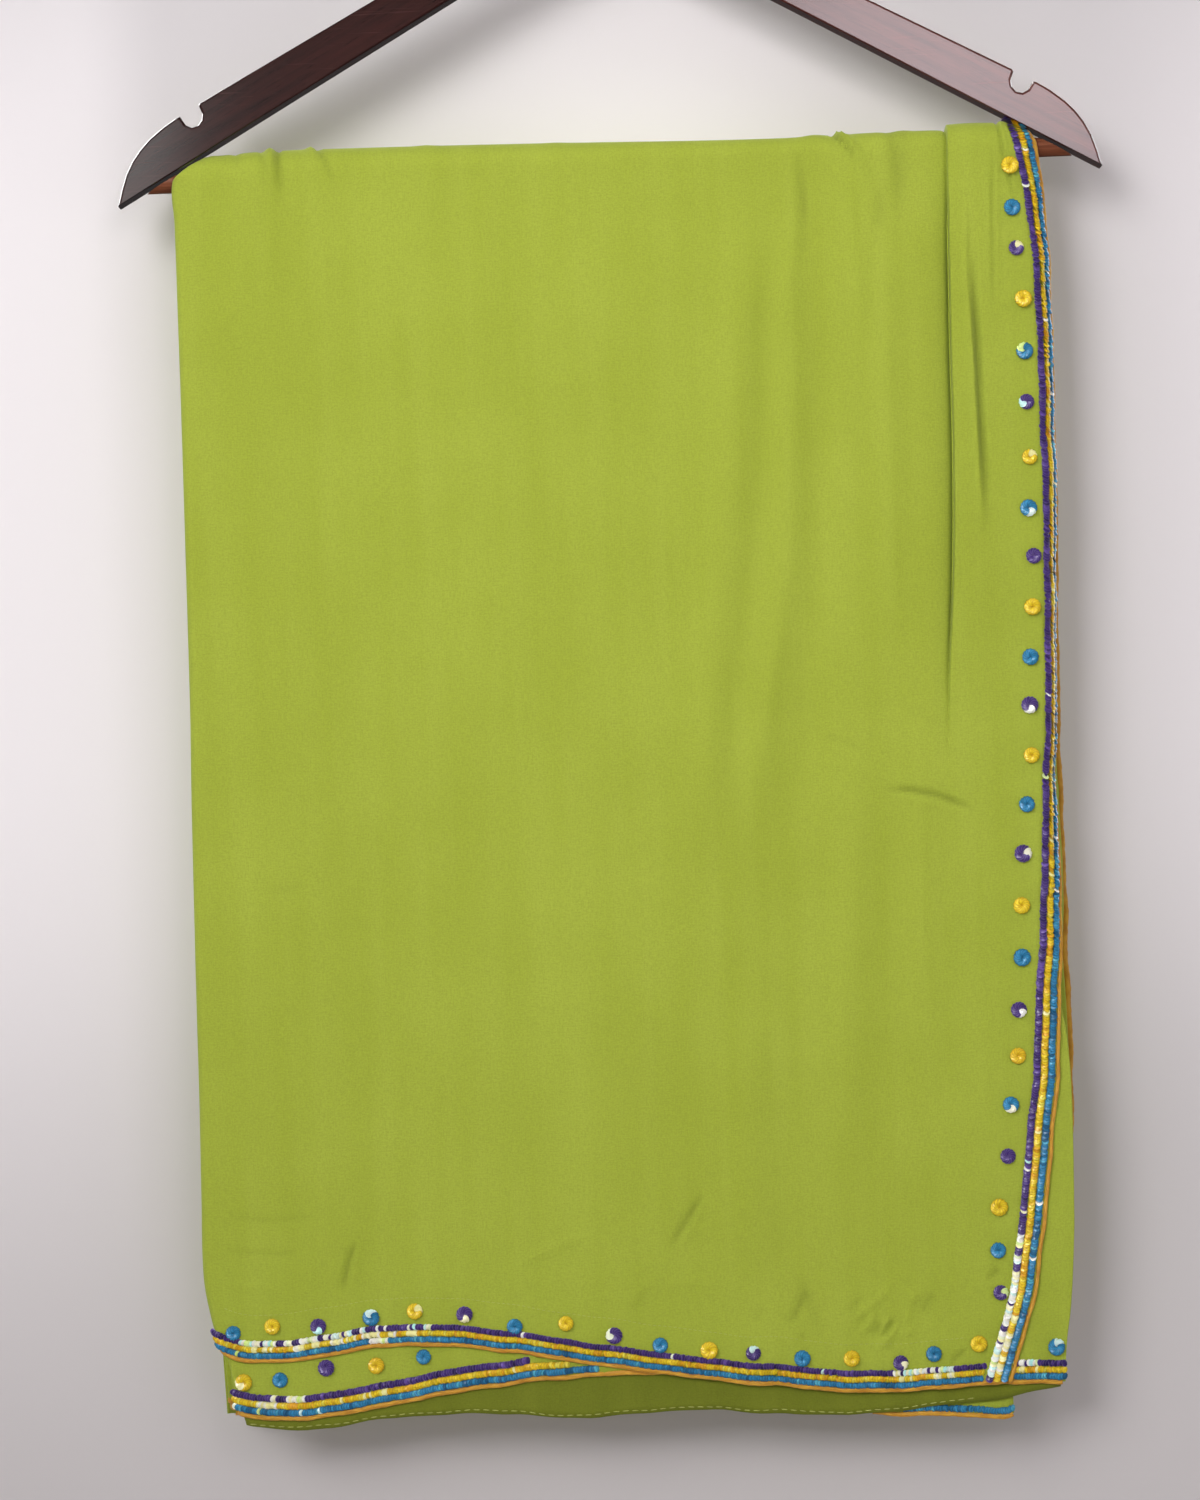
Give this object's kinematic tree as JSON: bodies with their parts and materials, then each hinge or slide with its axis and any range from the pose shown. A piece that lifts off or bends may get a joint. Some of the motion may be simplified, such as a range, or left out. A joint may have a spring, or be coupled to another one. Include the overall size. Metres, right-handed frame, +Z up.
{
  "type": "saree hung on a wooden hanger",
  "caption": "Green saree folded along its length and hung over a wooden hanger's bar, with rows of sequins, small sequin rosettes and ochre piping at its edges.",
  "frame": {"origin": "highest inside point of the hook's bend, where a rail carries the hanger", "axes": "+Z up, +X to the right as seen from the front, the front face of the saree towards -Y"},
  "size_m": [0.4486, 0.0379, 0.7782],
  "materials": {
    "saree_cloth": "matte fine crepe in yellow-green",
    "ochre_piping": "ochre satin binding",
    "sequins_blue": "small glossy blue sequins",
    "sequins_yellow": "small glossy yellow-gold sequins",
    "sequins_purple": "small glossy purple sequins",
    "hanger_wood": "satin mahogany stain",
    "bar_wood": "satin reddish-brown stain",
    "hook_steel": "plated steel wire"
  },
  "bodies": {
    "root": {"hanger_arm_left": "hanger_wood", "hanger_arm_right": "hanger_wood", "hanger_bar": "bar_wood", "hanger_hook": "hook_steel", "folded_core": "saree_cloth", "top_layer": "saree_cloth", "second_layer": "saree_cloth", "wrong_side_layer": "saree_cloth", "lower_layer": "saree_cloth", "end_piping": "ochre_piping", "front_hem_piping": "ochre_piping", "back_hem_piping": "ochre_piping", "second_hem_piping": "ochre_piping", "lower_hem_piping": "ochre_piping", "end_row_blue": "sequins_blue", "front_hem_row_blue": "sequins_blue", "back_hem_row_blue": "sequins_blue", "second_hem_row_blue": "sequins_blue", "second_corner_row_blue": "sequins_blue", "end_row_yellow": "sequins_yellow", "front_hem_row_yellow": "sequins_yellow", "back_hem_row_yellow": "sequins_yellow", "second_hem_row_yellow": "sequins_yellow", "second_corner_row_yellow": "sequins_yellow", "end_row_purple": "sequins_purple", "front_hem_row_purple": "sequins_purple", "back_hem_row_purple": "sequins_purple", "second_hem_row_purple": "sequins_purple", "second_corner_row_purple": "sequins_purple", "lower_hem_row_blue": "sequins_blue"}
  },
  "joints": []
}
